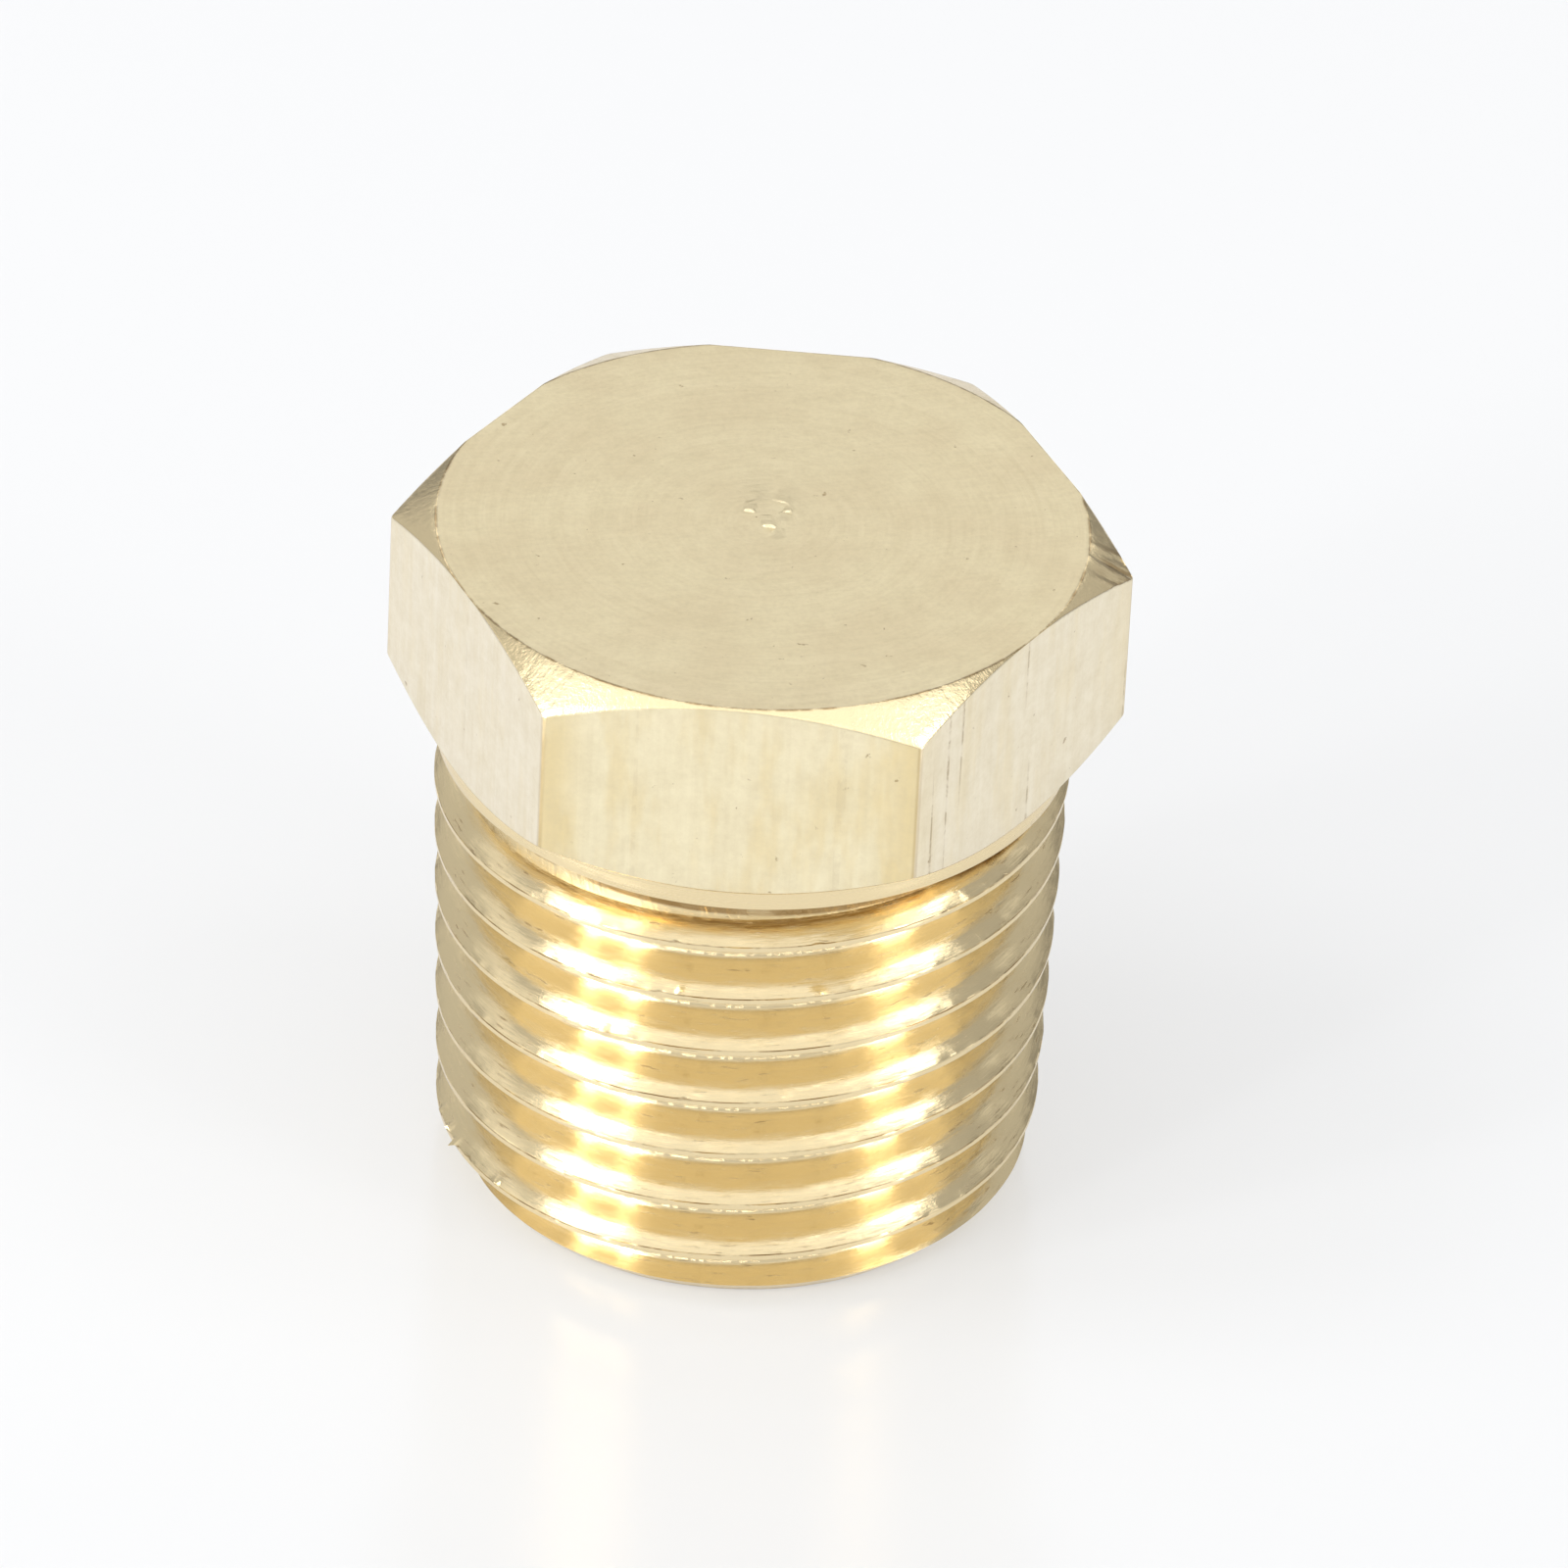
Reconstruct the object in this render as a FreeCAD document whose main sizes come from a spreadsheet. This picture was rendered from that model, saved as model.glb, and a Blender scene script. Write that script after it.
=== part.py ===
import FreeCAD, Part
import os
import Sketcher

# A solid hex head plug for a tapered pipe thread, turned and threaded from one bar of brass.
# It stands on its thread end. The origin is the middle of that end face, and +Z is up, along the axis.
# Lengths are in millimetres, and angles are in degrees.

SIZES = [
    # Hexagon head
    ("across_flats", 14.0),
    ("head_height", 4.87),
    ("corner_radius", 0.18),
    # How far the crown's circle lies outside the flats, and how steeply the crown falls to the corners
    ("crown_margin", 0.075),
    ("crown_angle", 28.0),
    # Slope of the turned cone under the corners
    ("underside_angle", 36.0),
    # Thin round collar between the head and the neck
    ("collar_height", 0.43),
    ("collar_setback", 0.02),
    # Shank, from its end face to the underside of the collar
    ("shank_length", 11.0),
    # Plain neck that the thread runs out into
    ("neck_depth", 0.575),
    ("neck_height", 0.5),
    ("runout_start", 1.4),
    ("runout_rise", 0.5),
    # Tapered thread: diameter over the crests at the end face, and one in sixteen on the diameter
    ("thread_end_diameter", 13.266),
    ("taper_ratio", 16.0),
    ("thread_pitch", 1.411),
    ("thread_angle", 60.0),
    ("thread_depth", 0.93),
    ("crest_width", 0.24),
    # Height of the lowest crest where it crosses the +X side
    ("first_crest", 0.3265),
    # Bevel round the end face, measured inwards
    ("end_bevel", 0.73),
    ("end_bevel_angle", 45.0),
]

AXIS = "0"
FLOOR = "0"

# Heights along the axis
COLLAR_BASE = "Sizes.shank_length"
HEAD_BASE = "(Sizes.shank_length + Sizes.collar_height)"
HEAD_TOP = "(Sizes.shank_length + Sizes.collar_height + Sizes.head_height)"
RUNOUT_BASE = "(Sizes.shank_length - Sizes.runout_start)"
RUNOUT_TOP = "(Sizes.shank_length - Sizes.runout_start + Sizes.runout_rise)"
NECK_BASE = "(Sizes.shank_length - Sizes.neck_height)"

# Radii, the first of them well outside the hexagon's corners, where the turning cuts start
OUTSIDE = "Sizes.across_flats"
CROWN_RADIUS = "(Sizes.across_flats / 2 + Sizes.crown_margin)"
COLLAR_RADIUS = "(Sizes.across_flats / 2 - Sizes.collar_setback)"
END_MAJOR_RADIUS = "(Sizes.thread_end_diameter / 2)"
TAPER = "(1 / (2 * Sizes.taper_ratio))"
HEAD_END_MAJOR_RADIUS = f"({END_MAJOR_RADIUS} + Sizes.shank_length * {TAPER})"
NECK_RADIUS = f"({HEAD_END_MAJOR_RADIUS} - Sizes.neck_depth)"
END_ROOT_RADIUS = f"({END_MAJOR_RADIUS} - Sizes.thread_depth)"
RUNOUT_ROOT_RADIUS = f"({END_ROOT_RADIUS} + {RUNOUT_BASE} * {TAPER})"
END_FACE_RADIUS = f"({END_MAJOR_RADIUS} - Sizes.end_bevel)"

# Thread ridge: its section starts one pitch below the lowest crest, clear of the end face.
# Its flanks run a little below the core's surface, and its foot reaches in from there with upright sides.
FLANK_DEPTH = "(Sizes.thread_depth + Sizes.crest_width / 6)"
FLANK_RISE = f"({FLANK_DEPTH} * tan(Sizes.thread_angle / 2))"
RIDGE_CENTRE = "(Sizes.first_crest - Sizes.thread_pitch)"
RIDGE_BASE = f"({RIDGE_CENTRE} - {FLANK_RISE} - Sizes.crest_width / 2)"
RIDGE_CREST_RADIUS = f"({END_MAJOR_RADIUS} + {RIDGE_CENTRE} * {TAPER})"
RIDGE_FOOT_RADIUS = f"({RIDGE_CREST_RADIUS} - {FLANK_DEPTH})"
RIDGE_INNER_RADIUS = f"({RIDGE_FOOT_RADIUS} - Sizes.thread_depth / 6)"
BELOW_RIDGE = "(0 - 2 * Sizes.thread_pitch)"


def make_sheet(doc):
    """The driving dimensions, one row each: its name, then its value under the same alias."""
    sheet = doc.addObject("Spreadsheet::Sheet", "Sizes")
    for row, (name, value) in enumerate(SIZES, start=1):
        sheet.set(f"A{row}", name)
        sheet.set(f"B{row}", str(value))
        sheet.setAlias(f"B{row}", name)
    doc.recompute()
    return sheet


def origin_plane(body, role):
    return next(feature for feature in body.Origin.OriginFeatures if feature.Role == role)


def new_sketch(body, name, role):
    sketch = body.newObject("Sketcher::SketchObject", name)
    sketch.AttachmentSupport = [(origin_plane(body, role), "")]
    sketch.MapMode = "FlatFace"
    return sketch


def bind_point(sketch, line, expressions):
    """Dimension the start of a line from the sketch's origin, one expression along each axis."""
    for kind, across, expression in zip(("DistanceX", "DistanceY"), (-2, -1), expressions):
        if expression == "0":
            sketch.addConstraint(Sketcher.Constraint("PointOnObject", line, 1, across))
            continue
        value = sketch.evalExpression(expression)
        index = sketch.addConstraint(Sketcher.Constraint(kind, -1, 1, line, 1, float(value)))
        sketch.setExpression(f"Constraints[{index}]", expression)


def outline(body, name, role, points):
    """A closed outline of straight lines, every corner dimensioned from the sheet."""
    sketch = new_sketch(body, name, role)
    places = [FreeCAD.Vector(*(float(sketch.evalExpression(e)) for e in point), 0) for point in points]
    for start, end in zip(places, places[1:] + places[:1]):
        sketch.addGeometry(Part.LineSegment(start, end), False)
    count = len(points)
    for line in range(count):
        sketch.addConstraint(Sketcher.Constraint("Coincident", line, 2, (line + 1) % count, 1))
    for line, point in enumerate(points):
        bind_point(sketch, line, point)
    return sketch


def turned(body, kind, name, points):
    """A feature revolved about the axis from an outline of radii and heights."""
    sketch = outline(body, name + "Outline", "XZ_Plane", points)
    feature = body.newObject(kind, name)
    feature.Profile = sketch
    feature.ReferenceAxis = (sketch, ["V_Axis"])
    feature.Angle = 360
    return feature


def volume_after(doc, feature):
    doc.recompute()
    return feature.Shape.Volume


def add_head(doc, body):
    """Six flats padded to the head's height, with the bar's slightly rounded corners."""
    sketch = new_sketch(body, "HexagonOutline", "XY_Plane")
    sketch.setExpression("AttachmentOffset.Base.z", HEAD_BASE)
    circumradius = float(sketch.evalExpression("Sizes.across_flats / 2 / cos(30)"))
    corners = [
        FreeCAD.Rotation(FreeCAD.Vector(0, 0, 1), 60 * side).multVec(FreeCAD.Vector(circumradius, 0, 0))
        for side in range(6)
    ]
    for start, end in zip(corners, corners[1:] + corners[:1]):
        sketch.addGeometry(Part.LineSegment(start, end), False)
    guide = sketch.addGeometry(
        Part.Circle(FreeCAD.Vector(0, 0, 0), FreeCAD.Vector(0, 0, 1), circumradius), True
    )
    for side in range(6):
        sketch.addConstraint(Sketcher.Constraint("Coincident", side, 2, (side + 1) % 6, 1))
        sketch.addConstraint(Sketcher.Constraint("PointOnObject", side, 1, guide))
    for side in range(5):
        sketch.addConstraint(Sketcher.Constraint("Equal", side, side + 1))
    sketch.addConstraint(Sketcher.Constraint("Coincident", guide, 3, -1, 1))
    sketch.addConstraint(Sketcher.Constraint("PointOnObject", 0, 1, -1))
    size = sketch.addConstraint(Sketcher.Constraint("Radius", guide, circumradius))
    sketch.setExpression(f"Constraints[{size}]", "Sizes.across_flats / 2 / cos(30)")

    head = body.newObject("PartDesign::Pad", "Head")
    head.Profile = sketch
    head.setExpression("Length", "Sizes.head_height")
    doc.recompute()

    upright = [
        f"Edge{number}"
        for number, edge in enumerate(head.Shape.Edges, start=1)
        if abs(edge.tangentAt(edge.FirstParameter).z) > 0.999
    ]
    corners_rounded = body.newObject("PartDesign::Fillet", "RoundedCorners")
    corners_rounded.Base = (head, upright)
    corners_rounded.setExpression("Radius", "Sizes.corner_radius")
    doc.recompute()
    return corners_rounded


def add_crown(body):
    """The turned bevel that cuts each corner of the head's top back to the crown's circle."""
    drop = f"(({OUTSIDE} - {CROWN_RADIUS}) * tan(Sizes.crown_angle))"
    return turned(body, "PartDesign::Groove", "Crown", [
        (CROWN_RADIUS, HEAD_TOP),
        (OUTSIDE, f"({HEAD_TOP} - {drop})"),
        (OUTSIDE, f"({HEAD_TOP} + {drop})"),
    ])


def add_underside(body):
    """The turned cone under the corners, from the collar outwards and upwards."""
    rise = f"(({OUTSIDE} - {COLLAR_RADIUS}) * tan(Sizes.underside_angle))"
    return turned(body, "PartDesign::Groove", "Underside", [
        (COLLAR_RADIUS, HEAD_BASE),
        (OUTSIDE, f"({HEAD_BASE} + {rise})"),
        (OUTSIDE, f"({HEAD_BASE} - {rise})"),
    ])


def add_core(body):
    """Collar, neck and tapered core, where the roots of the thread rise into the neck."""
    return turned(body, "PartDesign::Revolution", "Core", [
        (AXIS, FLOOR),
        (END_ROOT_RADIUS, FLOOR),
        (RUNOUT_ROOT_RADIUS, RUNOUT_BASE),
        (NECK_RADIUS, RUNOUT_TOP),
        (NECK_RADIUS, COLLAR_BASE),
        (COLLAR_RADIUS, COLLAR_BASE),
        (COLLAR_RADIUS, HEAD_BASE),
        (AXIS, HEAD_BASE),
    ])


def add_thread(body):
    """The right-hand ridge of the thread, wound up the taper from below the end face into the neck."""
    path = body.Document.addObject("Part::Helix", "ThreadPath")
    path.SegmentLength = 1
    path.setExpression("Pitch", "Sizes.thread_pitch")
    path.setExpression("Radius", RIDGE_CREST_RADIUS)
    path.setExpression("Height", f"{NECK_BASE} - {RIDGE_CENTRE} + {FLANK_RISE}")
    path.setExpression("Angle", f"atan({TAPER})")
    path.setExpression("Placement.Base.z", RIDGE_CENTRE)
    body.Document.recompute()
    turns = [f"Edge{number}" for number in range(1, len(path.Shape.Edges) + 1)]
    binder = body.newObject("PartDesign::SubShapeBinder", "ThreadSpine")
    binder.Support = [(path, tuple(turns))]

    section = outline(body, "RidgeSection", "XZ_Plane", [
        (RIDGE_INNER_RADIUS, "0"),
        (RIDGE_FOOT_RADIUS, "0"),
        (RIDGE_CREST_RADIUS, FLANK_RISE),
        (RIDGE_CREST_RADIUS, f"({FLANK_RISE} + Sizes.crest_width)"),
        (RIDGE_FOOT_RADIUS, f"(2 * {FLANK_RISE} + Sizes.crest_width)"),
        (RIDGE_INNER_RADIUS, f"(2 * {FLANK_RISE} + Sizes.crest_width)"),
    ])
    section.setExpression("AttachmentOffset.Base.y", RIDGE_BASE)
    body.Document.recompute()
    ridge = body.newObject("PartDesign::AdditivePipe", "Thread")
    ridge.Profile = section
    ridge.Spine = (binder, turns)
    ridge.Mode = "Frenet"
    return ridge


def add_neck(body):
    """The turned relief under the collar, which ends the ridge."""
    return turned(body, "PartDesign::Groove", "Neck", [
        (NECK_RADIUS, NECK_BASE),
        (OUTSIDE, NECK_BASE),
        (OUTSIDE, COLLAR_BASE),
        (NECK_RADIUS, COLLAR_BASE),
    ])


def add_end(body):
    """The end face and its bevel, cut across the start of the ridge."""
    rise = f"(({OUTSIDE} - {END_FACE_RADIUS}) * tan(Sizes.end_bevel_angle))"
    return turned(body, "PartDesign::Groove", "EndFace", [
        (AXIS, FLOOR),
        (END_FACE_RADIUS, FLOOR),
        (OUTSIDE, rise),
        (OUTSIDE, BELOW_RIDGE),
        (AXIS, BELOW_RIDGE),
    ])


def build_plug(doc):
    body = doc.addObject("PartDesign::Body", "HexHeadPlug")
    body.Label = "hex_head_plug"
    whole = add_head(doc, body).Shape.Volume
    for step, grows in (
        (add_crown, False),
        (add_underside, False),
        (add_core, True),
        (add_thread, True),
        (add_neck, False),
        (add_end, False),
    ):
        feature = step(body)
        volume = volume_after(doc, feature)
        if (volume > whole) != grows or volume == whole:
            raise RuntimeError(f"{feature.Label} left the volume at {volume:.3f} from {whole:.3f}")
        print(f"{feature.Label}: {whole:.3f} to {volume:.3f} mm3")
        whole = volume
    return body


def check(doc, parts):
    for item in doc.Objects:
        if "Invalid" in item.State or "Error" in item.State:
            raise RuntimeError(f"{item.Label} is {item.State}")
    for part in parts:
        if part.Shape.isNull() or not part.Shape.isValid() or len(part.Shape.Solids) != 1:
            raise RuntimeError(f"{part.Label} isn't one valid solid")


def main():
    doc = FreeCAD.newDocument("HexHeadPlug")
    make_sheet(doc)
    parts = [build_plug(doc)]
    doc.recompute()
    check(doc, parts)
    os.makedirs("parts", exist_ok=True)
    for part in parts:
        part.Shape.exportStep(f"parts/{part.Label}.step")
        box = part.Shape.BoundBox
        print(f"{part.Label}: {box.XLength:.3f} x {box.YLength:.3f} x {box.ZLength:.3f} mm")


main()
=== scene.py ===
import math

import bmesh
import bpy
from mathutils import Matrix, Vector, noise


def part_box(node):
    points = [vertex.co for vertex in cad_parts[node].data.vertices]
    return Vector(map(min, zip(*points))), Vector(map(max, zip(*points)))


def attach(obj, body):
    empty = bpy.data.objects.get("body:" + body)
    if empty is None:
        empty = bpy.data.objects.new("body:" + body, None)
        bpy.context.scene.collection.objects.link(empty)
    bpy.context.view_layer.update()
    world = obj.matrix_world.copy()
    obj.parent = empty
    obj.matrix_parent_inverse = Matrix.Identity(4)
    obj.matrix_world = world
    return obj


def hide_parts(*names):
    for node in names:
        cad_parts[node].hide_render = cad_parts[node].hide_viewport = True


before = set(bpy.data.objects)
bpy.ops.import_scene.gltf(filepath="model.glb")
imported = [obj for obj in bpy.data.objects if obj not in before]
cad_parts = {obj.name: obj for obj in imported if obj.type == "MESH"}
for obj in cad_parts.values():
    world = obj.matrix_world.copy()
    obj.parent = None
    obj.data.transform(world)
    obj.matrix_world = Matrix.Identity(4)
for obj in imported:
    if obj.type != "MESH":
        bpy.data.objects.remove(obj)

bl_info = {
    "name": "Hex Head Pipe Plug",
    "version": (1, 0, 0),
    "blender": (4, 5, 0),
    "location": "View3D > Sidebar > Plug",
    "description": "A turned brass plug with a hexagon head and a tapered pipe thread, on a pale floor",
    "category": "Object",
}

MM = 0.001
PER_MM = 1 / MM
NODE = "hex_head_plug"
NODE_LOW, NODE_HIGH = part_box(NODE)
FULL_TURN = 2 * math.pi
SIDES = 6
SIDE_ANGLE = FULL_TURN / SIDES


def size(name, description, value, **extra):
    """A length in metres, shown in the scene's own unit."""
    return bpy.props.FloatProperty(
        name=name, description=description, default=value, unit="LENGTH", precision=6, **extra
    )


def angle(name, description, degrees):
    return bpy.props.FloatProperty(
        name=name, description=description, default=math.radians(degrees), subtype="ANGLE"
    )


def share(name, description, value, low=0.0, high=1.0):
    return bpy.props.FloatProperty(name=name, description=description, default=value, min=low, max=high)


def colour(name, description, value):
    return bpy.props.FloatVectorProperty(
        name=name, description=description, default=value, subtype="COLOR", size=3, min=0.0, max=1.0
    )


class PlugHeadSizes(bpy.types.PropertyGroup):
    across_flats: size("Across Flats", "Width of the hexagon", NODE_HIGH.y - NODE_LOW.y)
    height: size("Height", "From the end face to the top of the head", NODE_HIGH.z)
    corner_radius: size("Corner Radius", "Rounding of the six upright edges", 0.18 * MM)
    crown_margin: size("Crown Margin", "How far the crown's circle lies outside the flats", 0.075 * MM)
    crown_angle: angle("Crown Angle", "Fall of the crown towards the corners", 28.0)
    underside_angle: angle("Underside Angle", "Rise of the turned cone under the corners", 36.0)
    collar_height: size("Collar Height", "Height of the thin round collar", 0.43 * MM)
    collar_setback: size("Collar Setback", "How far the collar stands back from the flats", 0.02 * MM)
    off_centre: size("Off Centre", "How far the bar lay off the lathe's axis, towards -Y", 0.16 * MM)
    pip_right: size("Pip Right", "Place of the torn pip, towards +X", 0.10 * MM)
    pip_back: size("Pip Back", "Place of the torn pip, towards +Y", 0.28 * MM)
    pip_radius: size("Pip Radius", "Radius of the torn pip", 0.66 * MM)


class PlugThreadSizes(bpy.types.PropertyGroup):
    shank_length: size("Shank Length", "From the end face to the underside of the collar", 11.0 * MM)
    neck_depth: size("Neck Depth", "Depth of the neck below the crests", 0.575 * MM)
    neck_height: size("Neck Height", "Height of the relief under the collar", 0.5 * MM)
    runout_start: size("Runout Start", "Where the roots start to rise, below the collar", 1.4 * MM)
    runout_rise: size("Runout Rise", "Height over which the roots rise into the neck", 0.5 * MM)
    end_diameter: size("End Diameter", "Diameter over the crests at the end face", 13.266 * MM)
    taper_ratio: bpy.props.FloatProperty(
        name="Taper Ratio", description="Length over which the diameter grows by one", default=16.0
    )
    pitch: size("Pitch", "Height of one turn of the thread", 1.411 * MM)
    flank_angle: angle("Flank Angle", "Angle between the flanks", 60.0)
    root_radius: size("Root Radius", "Rounding of the root between two crests", 0.194 * MM)
    crest_width: size("Crest Width", "Width of the flat crest", 0.15 * MM)
    first_crest: size("First Crest", "Height of the lowest crest at the +X side", 0.3715 * MM)
    end_bevel: size("End Bevel", "Bevel round the end face", 0.73 * MM)
    end_bevel_angle: angle("End Bevel Angle", "Slope of the end bevel", 45.0)
    shoulder_depth: size("Shoulder Depth", "Depth of the fuller upper shoulder below each crest", 0.32 * MM)
    shoulder_angle: angle("Shoulder Angle", "Slope of the shoulder beside the crest, from level", 42.0)
    fold_depth: size("Fold Depth", "Depth of the fold along the upper edge of each crest", 0.022 * MM)
    ragged: size("Ragged Edge", "How far the torn edge of each crest wavers", 0.014 * MM)


class PlugFinish(bpy.types.PropertyGroup):
    brass: colour("Brass", "Colour of the bright cut metal", (0.89, 0.735, 0.45))
    faced_brass: colour("Faced Brass", "Colour of the faced top", (0.86, 0.74, 0.49))
    dull_brass: colour("Dull Brass", "Colour of the drawn flats", (0.95, 0.85, 0.575))
    hazy_brass: colour("Hazy Brass", "Colour of the flats under a pale haze", (0.93, 0.85, 0.69))
    worn_brass: colour("Worn Brass", "Colour that the rings, streaks and grain carry", (0.70, 0.59, 0.37))
    tarnish: colour("Tarnish", "Colour of the golden strips beside the upright edges", (0.87, 0.72, 0.41))
    # This colour also paints the shade in the thread's folds, under its crests, under the collar and along
    # the foot.
    stain_and_shade: colour("Stain", "Colour of the small dark marks", (0.34, 0.215, 0.085))
    thread_roughness: share("Thread Roughness", "Roughness of the cut thread", 0.18)
    turning_marks: share("Turning Marks", "How far the tool's marks stretch what the thread reflects", 0.9)
    turned_roughness: share("Turned Roughness", "Roughness of the collar and the cone above it", 0.26)
    crown_roughness: share("Crown Roughness", "Roughness of the turned crown", 0.20)
    flat_roughness: share("Flat Roughness", "Roughness of the drawn flats", 0.36)
    top_roughness: share("Top Roughness", "Roughness of the faced top", 0.40)


class PlugStudio(bpy.types.PropertyGroup):
    lens: bpy.props.FloatProperty(name="Lens", description="Focal length in millimetres", default=317.55)
    distance: size("Distance", "From the aim point to the camera", 298.9 * MM)
    elevation: angle("Elevation", "Height of the camera above level", 35.01)
    azimuth: angle("Azimuth", "Turn of the camera about the plug, towards +X", 3.38)
    roll: angle("Roll", "Roll of the camera", 2.855)
    aim_right: size("Aim Right", "Aim point, to the right of the top's middle", 0.729 * MM)
    aim_up: size("Aim Up", "Aim point, above the top's middle in the picture", -5.607 * MM)
    floor_colour: colour("Floor", "Colour of the pale floor", (0.392, 0.398, 0.408))
    floor_glow: share("Floor Glow", "Light that comes up through the table", 0.425, high=4.0)
    surround: share("Surround", "Brightness of the room", 0.30, high=4.0)


# Columns round the plug

CORNER_COLUMNS = 4
SIDE_COLUMNS = 66


def hexagon_corner(head):
    """Distance of a corner's rounding from the hexagon's middle, and half the angle that it covers."""
    apothem = head.across_flats / 2
    inner = apothem - head.corner_radius
    centre = inner / math.cos(SIDE_ANGLE / 2)
    return centre, SIDE_ANGLE / 2 - math.atan(inner * math.tan(SIDE_ANGLE / 2) / apothem)


def hexagon_radius(head, turn):
    """Distance of the rounded outline from the hexagon's middle. A corner lies at angle 0."""
    from_corner = (turn + SIDE_ANGLE / 2) % SIDE_ANGLE - SIDE_ANGLE / 2
    centre, half = hexagon_corner(head)
    if abs(from_corner) >= half:
        return head.across_flats / 2 / math.cos(SIDE_ANGLE / 2 - abs(from_corner))
    across = centre * math.sin(from_corner)
    return centre * math.cos(from_corner) + math.sqrt(head.corner_radius ** 2 - across ** 2)


class Column:
    """One upright strip of the plug: its turn about the lathe's axis and the bar's outline there."""

    def __init__(self, head, turn_in_bar):
        reach = hexagon_radius(head, turn_in_bar)
        across = reach * math.cos(turn_in_bar)
        along = reach * math.sin(turn_in_bar) - head.off_centre
        nearest = round(turn_in_bar / SIDE_ANGLE) * SIDE_ANGLE
        plain = math.atan2(along, across)
        self.turn = turn_in_bar + math.remainder(plain - turn_in_bar, FULL_TURN)
        self.side = math.hypot(across, along)
        self.corner_gap = abs(turn_in_bar - nearest) * reach
        self.flat_number = math.floor(turn_in_bar / SIDE_ANGLE) % SIDES

    def place(self, radius, height):
        return Vector((radius * math.cos(self.turn), radius * math.sin(self.turn), height))


def plug_columns(head):
    """The columns, close together round the hexagon's corners."""
    half = hexagon_corner(head)[1]
    turns = [half * step / CORNER_COLUMNS for step in range(CORNER_COLUMNS)]
    turns += [half + (SIDE_ANGLE - 2 * half) * step / SIDE_COLUMNS for step in range(SIDE_COLUMNS)]
    turns += [SIDE_ANGLE - half + half * step / CORNER_COLUMNS for step in range(CORNER_COLUMNS)]
    return [Column(head, SIDE_ANGLE * number + turn) for number in range(SIDES) for turn in turns] + [
        Column(head, FULL_TURN)
    ]


# Rows down each column. A row is a radius, a height and its zone of the finish

TOP, CROWN, FLAT, TURNED, THREAD, END = range(6)
PIP_ROWS = 30
FACE_ROWS = 5
FACE_SHARE = 0.97
LONGEST_SOFTENING = 0.35


def between(start, end, part):
    return (start[0] + (end[0] - start[0]) * part, start[1] + (end[1] - start[1]) * part)


def softened_part(reach, length):
    """Share of a stretch that the rounding at one of its ends takes."""
    return min(reach / max(length, 1e-9), LONGEST_SOFTENING)


def softened_rows(points, softness, steps, zones):
    """Straight stretches between the points, with each inner point rounded off."""
    rows = [(*points[0], zones[0])]
    start = points[0]
    for index in range(1, len(points) - 1):
        last, point, following = points[index - 1: index + 2]
        reach = softness[index - 1]
        before = between(point, last, softened_part(reach, math.dist(point, last)))
        after = between(point, following, softened_part(reach, math.dist(point, following)))
        middle = between(between(before, after, 0.5), point, 0.5)
        count = steps[index - 1]
        rows += [(*between(start, before, step / count), zones[index - 1]) for step in range(1, count)]
        rows += [(*before, zones[index - 1]), (*middle, zones[index]), (*after, zones[index])]
        start = after
    count = steps[-1]
    return rows + [(*between(start, points[-1], step / count), zones[-1]) for step in range(1, count + 1)]


def top_rows(head, rim):
    """Rows of the faced top, close together round the pip."""
    fine = head.pip_radius + math.hypot(head.pip_right, head.pip_back)
    rows = [(fine * step / PIP_ROWS, head.height, TOP) for step in range(PIP_ROWS)]
    return rows + [(fine + (rim - fine) * step / FACE_ROWS, head.height, TOP) for step in range(FACE_ROWS)]


def head_rows(head, thread, side):
    """Rows from the middle of the top to the foot of the neck."""
    crown_circle = head.across_flats / 2 + head.crown_margin
    rim = min(crown_circle, side)
    collar = head.across_flats / 2 - head.collar_setback
    head_base = thread.shank_length + head.collar_height
    neck = neck_radius(thread)
    points = [
        (rim * FACE_SHARE, head.height),
        (rim, head.height),
        (side, head.height - max(side - crown_circle, 0.0) * math.tan(head.crown_angle)),
        (side, head_base + max(side - collar, 0.0) * math.tan(head.underside_angle)),
        (min(collar, side), head_base),
        (min(collar, side), thread.shank_length),
        (neck, thread.shank_length),
        (neck, thread.shank_length - thread.neck_height),
    ]
    softness = [0.02 * MM, 0.03 * MM, 0.025 * MM, 0.02 * MM, 0.05 * MM, 0.10 * MM]
    steps = [1, 4, 4, 3, 2, 2, 2]
    zones = [TOP, CROWN, FLAT, TURNED, TURNED, TURNED, THREAD]
    return top_rows(head, rim * FACE_SHARE) + softened_rows(points, softness, steps, zones)


def crest_radius(thread, height):
    return thread.end_diameter / 2 + height / (2 * thread.taper_ratio)


def neck_radius(thread):
    return crest_radius(thread, thread.shank_length) - thread.neck_depth


def core_radius(thread, height):
    """Radius of the roots, which rise into the neck over the runout."""
    start = thread.shank_length - thread.runout_start
    depth = root_point(thread, 0)[1]
    if height <= start:
        return crest_radius(thread, height) - depth
    root = crest_radius(thread, start) - depth
    return root + (neck_radius(thread) - root) * min((height - start) / thread.runout_rise, 1.0)


# Section of the thread: height above the crest's middle and depth below its face, from the root below
# to the root above

LOWER_EDGE_ROW = 5
FOLD_ROW = 9
LIP_ROW = 10
LIP = 0.012 * MM


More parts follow.
